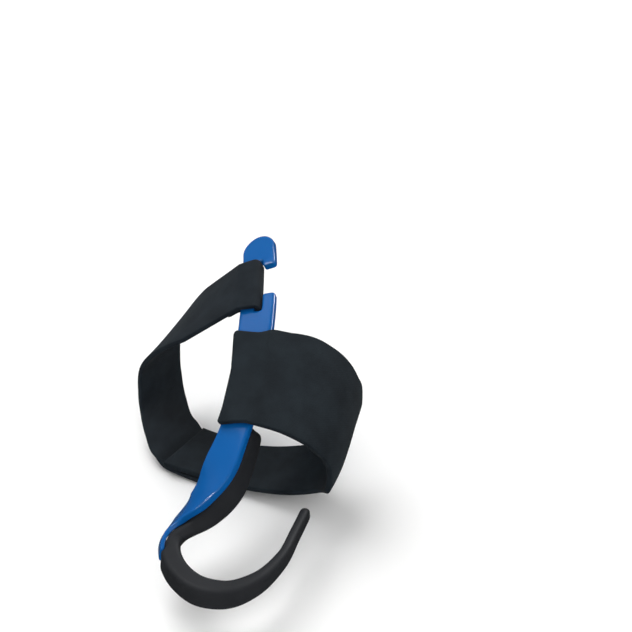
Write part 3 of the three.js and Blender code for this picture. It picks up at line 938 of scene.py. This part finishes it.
def plastic():
    material, tree, shader = nodes_of("blue_plastic")
    place = add(tree, "ShaderNodeTexCoord").outputs["Object"]
    broad = noise(tree, place, 28)
    fine = noise(tree, place, 900, 4)
    colour = ramp(tree, broad, zip((0.3, 0.7), PLASTIC_COLOURS))
    tree.links.new(colour, shader.inputs["Base Color"])
    tree.links.new(map_range(tree, fine, *PLASTIC_ROUGHNESS), shader.inputs["Roughness"])
    shader.inputs["Specular IOR Level"].default_value = PLASTIC_SPECULAR
    return material


def foam():
    material, tree, shader = nodes_of("black_foam")
    place = add(tree, "ShaderNodeTexCoord").outputs["Object"]
    cells = add(tree, "ShaderNodeTexVoronoi")
    cells.inputs["Scale"].default_value = FOAM_CELLS
    tree.links.new(place, cells.inputs["Vector"])
    grain = noise(tree, place, 1500, 5, 0.6)
    broad = noise(tree, place, 60)
    colour = ramp(tree, broad, zip((0.3, 0.7), FOAM_COLOURS))
    tree.links.new(colour, shader.inputs["Base Color"])
    tree.links.new(map_range(tree, grain, *FOAM_ROUGHNESS), shader.inputs["Roughness"])
    shader.inputs["Specular IOR Level"].default_value = FOAM_SPECULAR
    height = maths(tree, "ADD", cells.outputs["Distance"], grain)
    bump(tree, shader, height, 0.25)
    return material


def cloth(name, colours, pitch):
    """Woven fabric: ribs along and across the strip at a pitch in millimetres."""
    material, tree, shader = nodes_of(name)
    place = add(tree, "ShaderNodeAttribute", attribute_name="cloth").outputs["Vector"]
    split = add(tree, "ShaderNodeSeparateXYZ")
    tree.links.new(place, split.inputs["Vector"])
    turn = 2 * math.pi / pitch
    warp = maths(tree, "SINE", maths(tree, "MULTIPLY", split.outputs["X"], turn), 0)
    weft = maths(tree, "SINE", maths(tree, "MULTIPLY", split.outputs["Y"], turn), 0)
    weave = maths(tree, "MULTIPLY", warp, weft)
    fuzz = noise(tree, place, 3.2, 4, 0.65)
    broad = noise(tree, place, 0.12, 3)
    mixed = maths(tree, "ADD", maths(tree, "MULTIPLY", weave, 0.12), broad)
    colour = ramp(tree, mixed, zip((0.3, 0.72), colours))
    tree.links.new(colour, shader.inputs["Base Color"])
    tree.links.new(map_range(tree, fuzz, *CLOTH_ROUGHNESS), shader.inputs["Roughness"])
    shader.inputs["Sheen Weight"].default_value = CLOTH_SHEEN
    shader.inputs["Sheen Roughness"].default_value = 0.45
    shader.inputs["Specular IOR Level"].default_value = CLOTH_SPECULAR
    height = maths(tree, "ADD", maths(tree, "MULTIPLY", weave, 0.5), fuzz)
    bump(tree, shader, height, 0.3)
    return material


def dress(piece, node, material):
    piece.data.materials.append(material)
    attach(piece, "root")
    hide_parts(node)
    return piece


dress(make_splint(), "splint", plastic())
hook = dress(make_hook(), "toe_hook", foam())
band_cloth = cloth("band_weave", BAND_COLOURS, BAND_PITCH)
strap_cloth = cloth("strap_weave", STRAP_COLOURS, STRAP_PITCH)
dress(make_band(), "wide_band", band_cloth)
dress(make_strap(), "narrow_strap", strap_cloth)


# Floor, lights and camera
FLOOR_SIZE = 6.0
FLOOR_GAP = 0.0006
FLOOR_COLOUR = (0.92, 0.92, 0.915, 1)
FLOOR_ROUGHNESS = 0.9
FLOOR_SPECULAR = 0.1


def make_floor():
    mesh = bpy.data.meshes.new("studio_floor")
    half = FLOOR_SIZE / 2
    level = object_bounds()[0][2] - FLOOR_GAP
    signs = ((-1, -1), (1, -1), (1, 1), (-1, 1))
    mesh.from_pydata([(x * half, y * half, level) for x, y in signs], [], [(0, 1, 2, 3)])
    floor = bpy.data.objects.new("studio_floor", mesh)
    link(floor)
    material, tree, shader = nodes_of("studio_floor")
    shader.inputs["Base Color"].default_value = FLOOR_COLOUR
    shader.inputs["Roughness"].default_value = FLOOR_ROUGHNESS
    shader.inputs["Specular IOR Level"].default_value = FLOOR_SPECULAR
    mesh.materials.append(material)
    floor.visible_glossy = False


def add_light(name, place, size, power, height=None, diffuse=True, glossy=True):
    """Oval lamp aimed at the seat; it may light only surfaces or only reflections."""
    light = bpy.data.lights.new(name, "AREA")
    light.shape = "ELLIPSE"
    light.size = size
    light.size_y = height or size
    light.energy = power
    lamp = bpy.data.objects.new(name, light)
    lamp.visible_diffuse = diffuse
    lamp.visible_glossy = glossy
    lamp.location = place
    lamp.rotation_euler = (-Vector(place)).to_track_quat("-Z", "Y").to_euler()
    link(lamp)


CAMERA_AZIMUTH = 32.0
CAMERA_ELEVATION = 34.0
CAMERA_ROLL = -4.0
CAMERA_DISTANCE = 600.0
CAMERA_TARGET = (1.5, 112.0, 30.0)
CAMERA_LENS = 102.5
CAMERA_SENSOR = 36
CAMERA_CLIP_START = 0.01


def make_camera():
    azimuth, elevation = math.radians(CAMERA_AZIMUTH), math.radians(CAMERA_ELEVATION)
    roll = math.radians(CAMERA_ROLL)
    level = Vector((math.cos(azimuth), math.sin(azimuth), 0))
    back = Vector(
        (
            math.sin(azimuth) * math.cos(elevation),
            -math.cos(azimuth) * math.cos(elevation),
            math.sin(elevation),
        )
    )
    upright = back.cross(level)
    right = level * math.cos(roll) + upright * math.sin(roll)
    up = upright * math.cos(roll) - level * math.sin(roll)
    target = (Vector(CAMERA_TARGET) - Vector(SEAT)) * MM
    place = target + back * CAMERA_DISTANCE * MM
    camera = bpy.data.cameras.new("camera")
    camera.lens = CAMERA_LENS
    camera.sensor_width = CAMERA_SENSOR
    camera.sensor_fit = "HORIZONTAL"
    camera.clip_start = CAMERA_CLIP_START
    holder = bpy.data.objects.new("camera", camera)
    rotation = Matrix((right, up, back)).transposed()
    holder.matrix_world = Matrix.Translation(place) @ rotation.to_4x4()
    link(holder)
    bpy.context.scene.camera = holder


SKY_STRENGTH = (0.05, 0.45)
SKY_HEIGHTS = (-0.02, 0.3)


def make_world():
    """White sky that is dimmer at and below the horizon."""
    world = bpy.data.worlds.new("studio")
    world.use_nodes = True
    tree = world.node_tree
    background = tree.nodes["Background"]
    background.inputs["Color"].default_value = (1, 1, 1, 1)
    place = add(tree, "ShaderNodeTexCoord").outputs["Generated"]
    split = add(tree, "ShaderNodeSeparateXYZ")
    tree.links.new(place, split.inputs["Vector"])
    strength = map_range(tree, split.outputs["Z"], *SKY_STRENGTH, *SKY_HEIGHTS)
    tree.links.new(strength, background.inputs["Strength"])
    bpy.context.scene.world = world


make_floor()
make_camera()
add_light("key", (-0.6, 0.3, 1.1), 1.2, 14.5, glossy=False)
add_light("fill", (0.8, -0.6, 0.8), 1.2, 7)
add_light("sheen", (-0.61, 0.17, 1.02), 0.5, 1.2, diffuse=False)
add_light("glint", (-0.4, -0.5, 1.0), 0.3, 26, diffuse=False)
add_light("rim", (0.36, 0.86, 0.62), 0.56, 26, height=0.2, diffuse=False)
make_world()
bpy.context.scene.view_settings.view_transform = "Standard"
